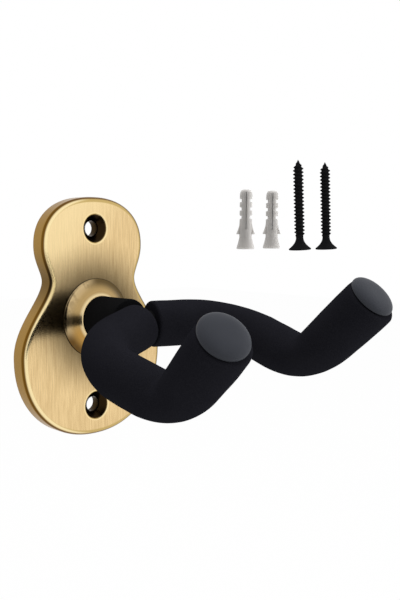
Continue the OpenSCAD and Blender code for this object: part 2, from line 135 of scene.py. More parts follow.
def turned(profile, sides=96, closed=False):
    """A shape turned on a lathe from (radius, height) pairs; radius 0 is a point on the axis."""
    points, rows = [], []
    for radius, height in profile:
        if radius == 0:
            rows.append([len(points)] * sides)
            points.append((0, 0, height))
            continue
        rows.append(list(range(len(points), len(points) + sides)))
        for i in range(sides):
            a = 2 * math.pi * i / sides
            points.append((radius * math.cos(a), radius * math.sin(a), height))
    return points, joined(rows, closed)


def arc(centre, radius, start, end, parts):
    """Points of a (radius, height) profile on an arc, from one angle to another in degrees."""
    angles = [math.radians(start + (end - start) * i / parts) for i in range(parts + 1)]
    return [(centre[0] + radius * math.cos(a), centre[1] + radius * math.sin(a)) for a in angles]


# %% [markdown]
# ## The brass plate
# The plate is cut to the outline of a guitar body: a small upper bout, a waist and a wide lower
# bout. Its front edge is rounded, and two countersunk holes take the wall screws. It could be a
# curve with a bevel, but a bevel rounds both edges, so the rim is built in layers, each one the
# outline drawn in by a little more. Buffing has rolled the edge off softly, so the last layers rise
# by only a hair. That soft slope is where the bright line along the rim lies, a highlight that the
# brass finish paints into its colour. The innermost layer runs in a fine zigzag: where three points
# lie in line, the fill would make a face without area.

# %% The plate's outline
PLATE_TOP, PLATE_BOTTOM, PLATE_T, EDGE_R = 47.85, -47.55, 7.0, 1.9
UPPER_HALF, UPPER_Z, TOP_FULL = 24.7, 28.8, 2.25
WAIST_HALF, WAIST_Z, WAIST_TIGHT, WAIST_SOFT = 21.1, 15.2, 1.35, 0.12
LOWER_HALF, LOWER_Z, BOTTOM_FULL = 34.3, -14.2, 2.15
STEPS = 48


def from_waist(t):
    """Share of the way from the waist to a bout; the steps are shorter next to the waist."""
    start, end = WAIST_SOFT ** WAIST_TIGHT, (1 + WAIST_SOFT) ** WAIST_TIGHT
    return ((t + WAIST_SOFT) ** WAIST_TIGHT - start) / (end - start)


def plate_outline():
    """The outline, clockwise from the top."""
    t = np.arange(1, STEPS + 1) / STEPS
    ease = (1 - np.cos(np.pi * t)) / 2
    quarter = np.pi / 2 * np.arange(STEPS + 1) / STEPS
    top = np.column_stack([
        UPPER_HALF * np.sin(quarter) ** (2 / TOP_FULL),
        UPPER_Z + (PLATE_TOP - UPPER_Z) * np.clip(np.cos(quarter), 0, 1) ** (2 / TOP_FULL),
    ])
    waist_in = np.column_stack([
        UPPER_HALF + (WAIST_HALF - UPPER_HALF) * ease,
        WAIST_Z + (UPPER_Z - WAIST_Z) * from_waist(1 - t),
    ])
    waist_out = np.column_stack([
        WAIST_HALF + (LOWER_HALF - WAIST_HALF) * ease,
        WAIST_Z + (LOWER_Z - WAIST_Z) * from_waist(t),
    ])
    bottom = np.column_stack([
        LOWER_HALF * np.clip(np.cos(quarter[1:]), 0, 1) ** (2 / BOTTOM_FULL),
        LOWER_Z + (PLATE_BOTTOM - LOWER_Z) * np.sin(quarter[1:]) ** (2 / BOTTOM_FULL),
    ])
    right = np.vstack([top, waist_in, waist_out, bottom])
    return np.vstack([right, (right * [-1, 1])[-2:0:-1]])


OUTLINE = plate_outline()
AHEAD = np.roll(OUTLINE, -1, axis=0) - np.roll(OUTLINE, 1, axis=0)
INWARD = np.column_stack([AHEAD[:, 1], -AHEAD[:, 0]]) / np.linalg.norm(AHEAD, axis=1)[:, None]
wide, tall = np.ptp(OUTLINE, axis=0)
print(f"outline of {len(OUTLINE)} points, {wide:.1f} x {tall:.1f} mm")

# %% The plate
HOLE_UP, HOLE_R, SINK_R = 35.5, 3.15, 5.6
HOLE_FLAT, HOLE_CHAMFER, THROAT_EASE = 0.6, 0.25, 0.1
# (across, out) steps over the lip, from the corner of the countersink
SINK_LIP = ((-0.25, -0.35), (-0.02, -0.13), (0.12, -0.03), (0.3, 0.0), (0.5, 0.0))
SPIGOT_R, LIP_W = 10.5, 1.0
BACK_FLAT, BACK_CHAMFER, FACE_FLAT = 0.9, 0.3, 0.25
CROWN_W, CROWN_STEPS, CROWN_ANGLE, ZIGZAG = 0.9, 4, 83, 0.04
EDGE_STEPS, HOLE_SIDES, BORE_SIDES = 10, 72, 96


def rim_layers():
    """(inset, out) of the rim's layers, from the back to the crown of the front edge."""
    slope = 1 / math.tan(math.radians(CROWN_ANGLE))
    rim = [(EDGE_R - p[0], p[1]) for p in arc((0, 0), EDGE_R, 0, CROWN_ANGLE, EDGE_STEPS)]
    in_by, up_to = rim[-1]
    for k in range(1, CROWN_STEPS + 1):
        t = k / CROWN_STEPS
        rim.append((in_by + CROWN_W * t, up_to + slope * CROWN_W * (t - t * t / 2)))
    rim = [(d, out + PLATE_T - rim[-1][1]) for d, out in rim]
    return [(BACK_FLAT, 0), (BACK_CHAMFER, 0), (0, BACK_CHAMFER)] + rim


def hole_profile():
    """(radius, out) of a countersunk hole, from the back to its rounded lip."""
    throat = PLATE_T - (SINK_R - HOLE_R)
    lip = [(SINK_R + across, PLATE_T + out) for across, out in SINK_LIP]
    return [(HOLE_R + HOLE_FLAT, 0), (HOLE_R + HOLE_CHAMFER, 0), (HOLE_R, HOLE_CHAMFER),
            (HOLE_R, throat - THROAT_EASE), (HOLE_R + THROAT_EASE, throat + THROAT_EASE / 2), *lip]


def brass_plate():
    """Points and faces of the plate in [x, up, out]."""
    made = bmesh.new()

    def ring(points, out):
        return [made.verts.new((p[0], p[1], out)) for p in points]

    def circle(up, radius, out, sides=HOLE_SIDES):
        a = 2 * np.pi * np.arange(sides) / sides
        return ring(np.column_stack([radius * np.cos(a), up + radius * np.sin(a)]), out)

    def wall(rings):
        for low, high in zip(rings, rings[1:]):
            for i in range(len(low)):
                j = (i + 1) % len(low)
                made.faces.new([low[i], low[j], high[j], high[i]])

    def loop(verts):
        return [made.edges.get((verts[i - 1], verts[i])) for i in range(len(verts))]

    layers = rim_layers()
    rims = [ring(OUTLINE + d * INWARD, out) for d, out in layers]
    in_by = layers[-1][0] + FACE_FLAT + ZIGZAG * (np.arange(len(OUTLINE)) % 2)
    rims.append(ring(OUTLINE + in_by[:, None] * INWARD, PLATE_T))
    wall(rims)
    backs, fronts = [rims[0]], [rims[-1]]
    for up in (HOLE_UP, -HOLE_UP):
        hole = [circle(up, r, out) for r, out in hole_profile()]
        wall(hole)
        backs.append(hole[0])
        fronts.append(hole[-1])
    bore = [circle(0, r, out, BORE_SIDES) for r, out in
            [(SPIGOT_R + LIP_W, 0), (SPIGOT_R, LIP_W), (SPIGOT_R, PLATE_T)]]
    wall(bore)
    for loops, facing in ((backs + [bore[0]], -1), (fronts + [bore[-1]], 1)):
        edges = [e for verts in loops for e in loop(verts)]
        bmesh.ops.triangle_fill(made, edges=edges, use_beauty=True, normal=(0, 0, facing))
    made.verts.index_update()
    parts = [tuple(v.co) for v in made.verts], [[v.index for v in f.verts] for f in made.faces]
    made.free()
    return parts


plate = piece("brass_plate", brass_plate(), ON_WALL, sharp=40, in_room=True)
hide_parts("wall_plate")
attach(plate, "wall_mount")

# %% [markdown]
# ## The boss
# A low boss is pressed into the middle of the plate, and the post turns in it. From outside to inside
# it has a thin flat ring, a cone, and a small upright lip round the post, with hollow fillets between
# them. It is turned on a lathe, so it is a profile swept round its axis. Its edge stands on the plate
# and is undercut a little: light does not reach in there, and that draws the fine dark seam round it.
# The boss's finish darkens that seam further with painted shade.

# %% The boss
BOSS_R, BOSS_TOP, BOSS_RIM, FLANGE_R, TURN_GAP = 15.8, 10.5, 0.3, 7.5, 0.1
BOSS_FLAT, RECESS_R, RECESS_FLOOR, FLANGE_SEAT, BUSH_R = 1.5, 8.5, 6.9, 9.5, 6.55
BOSS_RING, RING_FILLET, BOSS_LIP, LIP_FILLET = 0.6, 1.5, 0.1, 0.3
LIP_BACK, EDGE_LOW, EDGE_SOFT, LIP_SOFT, MOUTH_CHAMFER = 0.2, 0.06, 0.1, 0.1, 0.25
# (across, out) steps from the foot of the boss's edge
UNDERCUT = ((-0.6, 0.0), (-0.5, 0.15), (-0.03, 0.18))
FILLET_STEPS, LIP_STEPS, BOSS_SIDES = 12, 8, 128


def turned_boss():
    """Points and faces of the boss, its axis along out."""
    mouth_r, ring_r, edge_h = FLANGE_R + TURN_GAP, BOSS_R - BOSS_RING, PLATE_T + BOSS_RIM
    lip_r, lip_h = mouth_r + BOSS_FLAT, BOSS_TOP - BOSS_LIP
    rise, run = lip_h - edge_h - RING_FILLET, ring_r - lip_r - LIP_FILLET
    steep = math.atan2(rise, run) + math.asin((RING_FILLET - LIP_FILLET) / math.hypot(rise, run))
    foot = [(ring_r - RING_FILLET * math.sin(a), edge_h + RING_FILLET * (1 - math.cos(a)))
            for a in np.linspace(0, steep, FILLET_STEPS)]
    lip = [(lip_r + LIP_FILLET * (1 - math.sin(a)), lip_h - LIP_FILLET * math.cos(a))
           for a in np.linspace(steep, math.pi / 2, LIP_STEPS)]
    undercut = [(BOSS_R + across, PLATE_T + out) for across, out in UNDERCUT]
    profile = [
        (RECESS_R, LIP_BACK), (SPIGOT_R + LIP_W - LIP_BACK, LIP_BACK), (SPIGOT_R, LIP_W),
        (SPIGOT_R, PLATE_T), *undercut, (BOSS_R, edge_h - EDGE_LOW), (BOSS_R - EDGE_SOFT, edge_h),
        *foot, *lip, (lip_r - LIP_SOFT, BOSS_TOP),
        (mouth_r + MOUTH_CHAMFER, BOSS_TOP), (mouth_r, BOSS_TOP - MOUTH_CHAMFER),
        (mouth_r, FLANGE_SEAT), (BUSH_R, FLANGE_SEAT), (BUSH_R, RECESS_FLOOR),
        (RECESS_R, RECESS_FLOOR),
    ]
    print(f"the cone of the boss rises at {math.degrees(steep):.0f} degrees")
    return turned(profile, BOSS_SIDES, closed=True)


boss = piece("turned_boss", turned_boss(), ON_WALL)
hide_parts("boss_collar")
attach(boss, "wall_mount")

# %% [markdown]
# ## The path of the bar
# One steel bar makes both arms. From the middle of the yoke each arm runs out to a shoulder, then
# forward and down to a heel, then up to its tip. A path is a list of corners, and each inner corner
# is rounded by an arc. The stations along it keep three things: the place, the direction, and the
# side that faces the inside of the bend, which the foam will need.

# %% Stations along a path
YOKE_OUT, BAR_R, SLEEVE_R = 36.0, 5.0, 8.75
SHOULDER = np.array([35.3, -3.5, YOKE_OUT + 10.5])
HEEL = np.array([31.7, -15.2, YOKE_OUT + 49.7])
TIP = np.array([35.3, 9.6, YOKE_OUT + 74.8])
APEX = np.array([0.0, 0.0, YOKE_OUT])
APEX_BEND, SHOULDER_BEND, HEEL_BEND = 8.0, 23.5, 20.0
MIRROR = np.array([-1.0, 1.0, 1.0])


def unit(v):
    return v / np.linalg.norm(v)


def stations(corners, bends, along=14, round_bend=22):
    """(place, direction, inside) along a path; inside is the way to the centre of the bend."""
    run, here = [], corners[0]
    for a, b, c, r in zip(corners, corners[1:], corners[2:], bends):
        ahead, after = unit(b - a), unit(c - b)
        angle = math.acos(ahead @ after)
        inward = unit(after - ahead * (ahead @ after))
        begin = b - ahead * r * math.tan(angle / 2)
        run += [(here + (begin - here) * k / along, ahead, inward) for k in range(along)]
        for k in range(round_bend + 1):
            t = angle * k / round_bend
            to_centre = math.cos(t) * inward - math.sin(t) * ahead
            way = math.cos(t) * ahead + math.sin(t) * inward
            run.append((begin + r * inward - r * to_centre, way, to_centre))
        here = run[-1][0]
    last = unit(corners[-1] - here)
    inward = run[-1][2]
    run += [(here + (corners[-1] - here) * k / along, last, inward) for k in range(1, along + 1)]
    return run


def ways_round(direction, sides):
    """Unit vectors all round a direction."""
    side = unit(np.cross([0, 1, 0], direction))
    lift = np.cross(direction, side)
    a = 2 * np.pi * np.arange(sides)[:, None] / sides
    return np.cos(a) * side + np.sin(a) * lift


path = [APEX, SHOULDER, HEEL, TIP]
arm_l = sum(np.linalg.norm(b - a) for a, b in zip(path, path[1:]))
print(f"from corner to corner, each arm is {arm_l:.0f} mm long")

# %% [markdown]
# ## The bent bar
# The bar itself only shows in the notch between the two sleeves, painted black. It is the plain
# case of a swept shape: one ring of points at each station.

# %% The bent bar
def swept(rings, closed=False):
    """Points and faces through rings; the ends are capped, or meet each other if closed."""
    sides = len(rings[0])
    rows = [list(range(k * sides, (k + 1) * sides)) for k in range(len(rings))]
    ends = [] if closed else [rows[0][::-1], rows[-1]]
    return [tuple(p) for ring in rings for p in ring], joined(rows, closed) + ends


def bent_bar(sides=32):
    corners = [TIP * MIRROR, HEEL * MIRROR, SHOULDER * MIRROR, APEX, SHOULDER, HEEL, TIP]
    bends = [HEEL_BEND, SHOULDER_BEND, APEX_BEND, SHOULDER_BEND, HEEL_BEND]
    run = stations(corners, bends, along=8, round_bend=12)
    return swept([place + BAR_R * ways_round(way, sides) for place, way, _ in run])


bar = piece("bent_bar", bent_bar(), ON_YOKE)
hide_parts("yoke_bar")
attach(bar, "yoke")

# %% [markdown]
# ## The foam sleeves
# Each arm wears a tube of black foam. Foam does not bend like steel: on the outside of a bend it
# keeps a wide, even curve, and on the inside it is pushed together into a tight crease, so the tube
# gets flatter there. A plain sweep cannot do that. Here each ring has two centres, one from a path
# with wide bends and one from a path with tight bends, and a point takes its centre from the side of
# the bend on which it lies. Near its tip the foam hangs a little low on the bar, and it is bunched up
# against the cap, so it swells there. A little noise takes away the look of a machined part.

# %% The foam sleeves
FOAM_SIDES, FOAM_SEED = 64, 11.3
SLEEVE_GAP, FOAM_ROUND, TIP_ROUND, ROUND_PARTS = 0.6, 1.0, 1.2, 5
WIDE_BENDS, TIGHT_BENDS = [25.7, 26.5], [21.8, 11.5]
ARM_WAY = unit(SHOULDER - APEX)
HALF_OPEN = math.acos(ARM_WAY[0])
SLEEVE_START = SLEEVE_R * math.tan(HALF_OPEN) + SLEEVE_GAP / 2 / math.cos(HALF_OPEN)
SLEEVE_FROM = APEX + ARM_WAY * SLEEVE_START
FOAM_SKIN = 0.05
TIP_WAY = unit(TIP - HEEL)
TIP_LIFT = unit(np.array([0, 1, 0]) - TIP_WAY[1] * TIP_WAY)
FOAM_LOW, CAP_GAP = 0.9, 0.3
FOAM_TIP = TIP - FOAM_LOW * TIP_LIFT - CAP_GAP * TIP_WAY
SWELL, SWELL_AT, SWELL_REACH = 0.4, 6.0, 16.0
# (size, pace) of the two noises that make the foam lumpy
LUMPS = ((0.10, 0.07), (0.05, 0.25))


def smooth_step(t):
    return t * t * (3 - 2 * t)


def lumpy(spots, seed):
    """A small swell at each spot, the same at every run."""
    return np.array([
        sum(size * noise.noise(Vector((p[0] * pace + seed, p[1] * pace, p[2] * pace)))
            for size, pace in LUMPS)
        for p in spots
    ])[:, None]


def bunched(place):
    """How much thicker the foam is at a place, because it is pushed up against the cap."""
    off = abs(np.linalg.norm(FOAM_TIP - place) - SWELL_AT) / SWELL_REACH
    return SWELL * math.cos(math.pi / 2 * min(off, 1.0)) ** 2


def rounded_end(ring, centre, inwards, radius):
    """Rings that round the edge of a cut end; inwards points from the cut into the sleeve."""
    made = []
    for k in range(ROUND_PARTS):
        a = math.pi / 2 * k / ROUND_PARTS
        shrink = 1 - radius * (1 - math.sin(a)) / SLEEVE_R
        made.append(centre + (ring - centre) * shrink + inwards * radius * (1 - math.cos(a)))
    return made


def foam_sleeve(side, sides=FOAM_SIDES):
    """Points and faces of one sleeve; side is 1 for the right arm and -1 for the left."""
    corners = [SLEEVE_FROM, SHOULDER, HEEL, FOAM_TIP]
    wide, tight = stations(corners, WIDE_BENDS), stations(corners, TIGHT_BENDS)
    outer = []
    for (far, way, inside), (near, _, _) in zip(wide, tight):
        ways = ways_round(way, sides)
        lean = smooth_step((ways @ inside + 1) / 2)[:, None]
        centre = far + (near - far) * lean
        swell = lumpy(centre + SLEEVE_R * ways, FOAM_SEED * side) + bunched(far)
        outer.append(centre + (SLEEVE_R - FOAM_SKIN + swell) * ways)
    start = rounded_end(outer[0], corners[0], wide[0][1], FOAM_ROUND)
    end = rounded_end(outer[-1], corners[-1], -wide[-1][1], TIP_ROUND)
    bore = [place + BAR_R * ways_round(way, sides)
            for place, way, _ in stations(corners[:3] + [TIP], [SHOULDER_BEND, HEEL_BEND])]
    mirror = MIRROR if side < 0 else 1
    rings = start + outer[1:-1] + end[::-1] + bore[::-1]
    return swept([ring * mirror for ring in rings], closed=True)


foams = {}
for name, side in (("left", -1), ("right", 1)):
    foams[name] = piece(f"{name}_foam", foam_sleeve(side), ON_YOKE, sharp=50)
    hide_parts(f"{name}_arm_sleeve")
    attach(foams[name], "yoke")

# %% [markdown]
# ## The cover of the post
# A smooth black tube hides the post between the boss and the arms. Both of its ends are rounded,
# because a soft tube that is cut square never keeps a sharp edge.

# %% The cover of the post
COVER_R, POST_R, COVER_GAP, COVER_WAIST = 9.0, 6.0, 0.3, 0.08
COVER_ROUND, ROUND_STEPS, WAIST_FROM, WAIST_TO, WAIST_STEPS = 0.7, 6, 0.1, 0.9, 9
FOAM_BACK = YOKE_OUT - SLEEVE_R * math.cos(HALF_OPEN) + SLEEVE_START * math.sin(HALF_OPEN)
COVER_FROM, COVER_TO = BOSS_TOP + COVER_GAP, FOAM_BACK - COVER_GAP


def post_cover():
    round_r, long = COVER_R - COVER_ROUND, COVER_TO - COVER_FROM
    low = arc((round_r, COVER_FROM + COVER_ROUND), COVER_ROUND, -90, 0, ROUND_STEPS)
    high = arc((round_r, COVER_TO - COVER_ROUND), COVER_ROUND, 0, 90, ROUND_STEPS)
    waist = [(COVER_R - COVER_WAIST * math.sin(math.pi * t), COVER_FROM + long * t)
             for t in np.linspace(WAIST_FROM, WAIST_TO, WAIST_STEPS)]
    return turned([(POST_R, COVER_FROM), *low, *waist, *high, (POST_R, COVER_TO)], closed=True)


cover = piece("post_cover", post_cover(), ON_YOKE)
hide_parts("post_sleeve")
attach(cover, "yoke")

# %% [markdown]
# ## The end caps
# A grey plastic cap closes each arm. Its stem sits in the end of the bar, and it is a little smaller
# than the foam, so the rounded end of the foam shows round it. The face is a low pillow:
# nearly flat in the middle and rolled over at its edge, where it catches the light. A ball would be
# too pointed in the middle, so the profile is a superellipse, which a power of the cosine makes.

# %% The end caps
CAP_RIM, CAP_CROWN, STEM_R, STEM_L = 0.5, 2.4, 2.5, 8.0
CAP_R, CAP_FULL, CAP_LAST, CAP_STEPS = 8.1, 0.65, 88, 24
STEM_CHAMFER = 0.4
# (across, up) steps under the edge of the cap
CAP_EASE = ((-0.3, 0.0), (-0.04, 0.15))


def end_cap():
    angles = np.radians(np.linspace(0, CAP_LAST, CAP_STEPS))
    pillow = [(CAP_R * math.cos(a) ** CAP_FULL, CAP_RIM + CAP_CROWN * math.sin(a)) for a in angles]
    stem = [(0, -STEM_L), (STEM_R - STEM_CHAMFER, -STEM_L), (STEM_R, STEM_CHAMFER - STEM_L),
            (STEM_R, 0)]
    under = [(CAP_R + across, up) for across, up in CAP_EASE]
    return turned([*stem, *under, *pillow, (0, CAP_RIM + CAP_CROWN)])


caps = []
for name, mirror in (("left", MIRROR), ("right", np.ones(3))):
    tip, up_arm = TIP * mirror, unit((TIP - HEEL) * mirror)
    across = unit(np.cross([0, 1, 0], up_arm))
    axes = Matrix([*zip(across, np.cross(up_arm, across), up_arm)]).to_4x4()
    cap = piece(f"{name}_cap", end_cap(), ON_YOKE @ Matrix.Translation(Vector(tip * MM)) @ axes)
    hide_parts(f"{name}_end_cap")
    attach(cap, "yoke")
    caps.append(cap)

# %% [markdown]
# ## The wall screws
# Two black drywall screws stand beside the hanger. A thread is a ridge that climbs one pitch in one
# turn. It is drawn in columns: each column holds the same run of crest and root points, a little
# higher than the column before, and the last column meets the first one a whole pitch higher.

# %% The thread of a screw
SCREW_L, THREAD_R, CORE_R, PITCH, POINT_L = 45.0, 2.6, 1.85, 1.8, 4.0
ROOT_HALF, CREST_HALF, SPARE_TURNS, BARE_POINT = 0.34, 0.1, 3, 0.6
HEAD_H, HEAD_OVERLAP, THREAD_SIDES = 6.5, 0.3, 32
SHANK_FROM = HEAD_H - HEAD_OVERLAP


def clamped(t):
    return min(max(t, 0.0), 1.0)


def core_radius(z):
    return CORE_R * clamped((SCREW_L - z) / POINT_L)


def screw_shank():
    """The threaded shank and its point, standing on the head."""
    # shares of one pitch, with 0 for the root and 1 for the crest
    across = [(-0.5, 0), (-ROOT_HALF, 0), (-CREST_HALF, 1), (CREST_HALF, 1), (ROOT_HALF, 0)]
    turns = int((SCREW_L - HEAD_H) / PITCH) + SPARE_TURNS
    points, columns = [], []
    for i in range(THREAD_SIDES):
        a = 2 * math.pi * i / THREAD_SIDES
        column = []
        for n in range(-1, turns):
            for offset, crest in across:
                z = HEAD_H + PITCH * (n + i / THREAD_SIDES + offset)
                z = min(max(z, SHANK_FROM), SCREW_L)
                grow = clamped((z - HEAD_H) / PITCH)
                fade = clamped((SCREW_L - BARE_POINT - z) / POINT_L)
                r = core_radius(z) + crest * grow * fade * (THREAD_R - CORE_R)
                column.append(len(points))
                points.append((r * math.cos(a), r * math.sin(a), z))
        columns.append(column)
    step = len(across)
    columns.append(columns[0][step:] + [columns[0][-1]] * step)
    faces = []
    for left, right in zip(columns, columns[1:]):
        for k in range(len(left) - 1):
            corners = [left[k], right[k], right[k + 1], left[k + 1]]
            faces.append(list(dict.fromkeys(corners)))
    return points, [f for f in faces if len(f) > 2]


print(f"a thread of {(SCREW_L - HEAD_H) / PITCH:.0f} turns, {2 * THREAD_R} mm wide")

# %% The head of a screw
HEAD_R, HEAD_RIM, HEAD_FLARE, FLARE_TO, FLARE_STEPS = 5.55, 0.6, 2.2, 0.92, 15
# (across, up) steps round the edge of the head
HEAD_EASE = ((-0.8, 0.0), (-0.15, 0.05), (0.0, 0.2))
CROSS_REACH, CROSS_HALF = 2.5, 0.55
# (height, size) at both ends of the recess
CROSS_ENDS = ((-1.0, 1.15), (2.4, 0.5))


def screw_head():
    """The bugle head under the shank, with a thin rim, in the thread's own columns."""
    rim = [(HEAD_R + across, up) for across, up in HEAD_EASE]
    flare = []
    for t in np.linspace(0, FLARE_TO, FLARE_STEPS):
        radius = CORE_R + (HEAD_R - CORE_R) * (1 - t) ** HEAD_FLARE
        flare.append((radius, HEAD_RIM + (HEAD_H - HEAD_RIM) * t))
    return turned([(0, 0), *rim, *flare, (CORE_R, SHANK_FROM)], THREAD_SIDES)


def cross_recess():
    """A cross that narrows with depth, to be cut into the head from below."""
    quarter = [(CROSS_REACH, CROSS_HALF), (CROSS_HALF, CROSS_HALF), (CROSS_HALF, CROSS_REACH)]
    cross = []
    for _ in range(4):
        cross += quarter
        quarter = [(-y, x) for x, y in quarter]
    return swept([[(x * size, y * size, up) for x, y in cross] for up, size in CROSS_ENDS])


print(f"a head {2 * HEAD_R} mm wide and {HEAD_H} mm tall")

# %% The wall screws
SCREW_X, SCREW_STEP, SCREW_Z, SCREW_LEAN = 131.4, 22.1, 24.8, math.radians(-4)


def together(*parts):
    """Several sets of points and faces as one."""
    points, faces = [], []
    for some, theirs in parts:
        faces += [[i + len(points) for i in f] for f in theirs]
        points += some
    return points, faces


def carve(target, tool, operation, sharp=32):
    """Cuts one piece with another, or adds it, and keeps only the result."""
    change = target.modifiers.new("carve", "BOOLEAN")
    change.operation, change.object, change.solver = operation, tool, "EXACT"
    now = bpy.context.evaluated_depsgraph_get()
    mesh = bpy.data.meshes.new_from_object(target.evaluated_get(now))
    target.modifiers.clear()
    target.data = mesh
    mesh.name = target.name
    mesh.shade_smooth()
    mesh.set_sharp_from_angle(angle=math.radians(sharp))
    bpy.data.objects.remove(tool)
    print(f"{target.name} carved: {len(mesh.polygons)} faces")


def beside_hanger(x, radius, z):
    """Where a screw or plug stands: to the right of the hanger, its side against the wall."""
    return Matrix.Translation(Vector((x, -radius, z)) * MM)


screws = []
for name, x in (("left_screw", SCREW_X), ("right_screw", SCREW_X + SCREW_STEP)):
    stand = beside_hanger(x, HEAD_R, SCREW_Z) @ Matrix.Rotation(SCREW_LEAN, 4, "Y")
    screw = piece(name, together(screw_head(), screw_shank()), stand)
    carve(screw, piece(f"{name}_recess", cross_recess(), stand), "DIFFERENCE")
    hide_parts("wall_screws")
    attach(screw, "wall_mount")
    screws.append(screw)

# %% [markdown]
# ## The wall plugs
# The two plugs are moulded nylon: a round nose, notches that grip the wall, two springy barbs, and a
# flared foot. A slit along the body lets the screw push the halves apart. The body is turned, the
# barbs are swept strips that are added to it, and the slit is cut last. The notches are at the sides
# only: a smooth strip stays beside the slit.

# %% The body of a plug
PLUG_L, PLUG_R, PLUG_SIDES = 28.0, 2.95, 48
FOOT_R, FOOT_H, FOOT_CHAMFER, FOOT_RIM, FOOT_TAPER = 4.25, 5.6, 0.3, 0.8, 0.12
FOOT_FLARE, FLARE_FROM, FOOT_STEPS = 0.8, 0.15, 7
DIMPLE_R, DIMPLE_STEP = 1.3, 0.02
NOTCHES, NOTCH_DEPTH, NOTCH_H, RIB_H, NOTCH_SOFT = 3, 0.9, 1.5, 2.4, 0.2
NOSE_L, NOSE_FULL, NOSE_FIRST, NOSE_LAST, NOSE_STEPS = 1.5, 0.45, 5, 85, 12
NOSE_FROM = PLUG_L - PLUG_R
STRIP_FROM, STRIP_TO = 0.6, 0.76


def side_notched(point):
    """Fills the notches at the front and back, where a plug has a smooth strip beside its slit."""
    x, y, z = point
    radius = math.hypot(x, y)
    t = clamped((abs(x) / radius - STRIP_FROM) / (STRIP_TO - STRIP_FROM))
    grow = (PLUG_R - (PLUG_R - radius) * smooth_step(t)) / radius
    return x * grow, y * grow, z


def plug_body():
    profile = [(0, 0), (DIMPLE_R, 0), (DIMPLE_R, DIMPLE_STEP), (FOOT_R - FOOT_CHAMFER, 0),
               (FOOT_R, FOOT_CHAMFER), (FOOT_R - FOOT_TAPER, FOOT_RIM)]
    profile += [(FOOT_R + (PLUG_R - FOOT_R) * t ** FOOT_FLARE, FOOT_RIM + (FOOT_H - FOOT_RIM) * t)
                for t in np.linspace(FLARE_FROM, 1, FOOT_STEPS)]
    deep, soft = PLUG_R - NOTCH_DEPTH, NOTCH_SOFT
    for i in reversed(range(NOTCHES)):
        top = NOSE_FROM - NOSE_L - i * (NOTCH_H + RIB_H)
        low = top - NOTCH_H
        profile += [(PLUG_R, low - soft), (PLUG_R - soft, low), (deep + soft / 2, low + soft / 2),
                    (deep, low + soft), (deep, top - soft), (deep + soft / 2, top - soft / 2),
                    (PLUG_R - soft, top), (PLUG_R, top + soft)]
    profile += [(PLUG_R * math.cos(a) ** NOSE_FULL, NOSE_FROM + PLUG_R * math.sin(a))
                for a in np.radians(np.linspace(NOSE_FIRST, NOSE_LAST, NOSE_STEPS))]
    points, faces = turned(profile + [(0, PLUG_L)], PLUG_SIDES)
    return [side_notched(p) if FOOT_H < p[2] < NOSE_FROM else p for p in points], faces


print(f"a plug {PLUG_L} mm long, {2 * PLUG_R} mm wide, with {NOTCHES} notches on each side")

# %% The barbs and the slit of a plug
BARB_TOP, BARB_LOW, BARB_REACH, BARB_STEPS = 12.2, 7.0, 1.15, 9
BARB_HALF, BARB_T, BARB_TIP_HALF, BARB_TIP_T = 1.0, 0.42, 0.8, 0.25
BARB_SUNK, BARB_CURVE, BARB_ROOT, BARB_OPEN = 0.45, 1.6, 0.5, 0.4
SLIT_HALF, SLIT_FROM, SLIT_REACH, NOSE_BRIDGE = 0.12, 9.2, 6, 1.4
PLUG_X, PLUG_STEP, PLUG_Z, PLUG_TURN = 91.6, 19.0, 25.8, math.radians(-45)


def plug_barb(side):
    """A wing that springs away from the body, thicker towards its tip."""
    rings = []
    for t in np.linspace(0, 1, BARB_STEPS):
        z = BARB_TOP + (BARB_LOW - BARB_TOP) * t
        middle = PLUG_R - BARB_SUNK + (BARB_REACH + BARB_SUNK) * t ** BARB_CURVE
        half, thick = (BARB_HALF, BARB_T) if t < 1 else (BARB_TIP_HALF, BARB_TIP_T)
        inner = side * min(middle - thick, PLUG_R - BARB_ROOT + BARB_OPEN * t)
        outer = side * (middle + thick)
        rings.append([(inner, -half, z), (outer, -half, z), (outer, half, z), (inner, half, z)])
    return swept(rings)


def plug_slit():
    """A thin blade through the body; a bridge of nylon stays at the nose."""
    blade = [(-SLIT_HALF, -SLIT_REACH), (SLIT_HALF, -SLIT_REACH),
             (SLIT_HALF, SLIT_REACH), (-SLIT_HALF, SLIT_REACH)]
    return swept([[(x, y, z) for x, y in blade] for z in (SLIT_FROM, PLUG_L - NOSE_BRIDGE)])


plugs = []
for name, x in (("left_plug", PLUG_X), ("right_plug", PLUG_X + PLUG_STEP)):
    stand = beside_hanger(x, FOOT_R, PLUG_Z) @ Matrix.Rotation(PLUG_TURN, 4, "Z")
    plug = piece(name, plug_body(), stand)
    for side in (-1, 1):
        carve(plug, piece(f"{name}_barb", plug_barb(side), stand), "UNION", sharp=40)
    carve(plug, piece(f"{name}_slit", plug_slit(), stand), "DIFFERENCE", sharp=40)
    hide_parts("wall_plugs")
    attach(plug, "wall_mount")
    plugs.append(plug)

# %% [markdown]
# ## Writing a finish as arithmetic
# A finish is a tree of nodes, and most of its nodes only add, multiply and compare. Writing them one
# by one hides the idea, so a small class wraps a socket and lets Python's own operators add the
# nodes: `1 - mask` becomes a Subtract node. Every other node comes from one method.

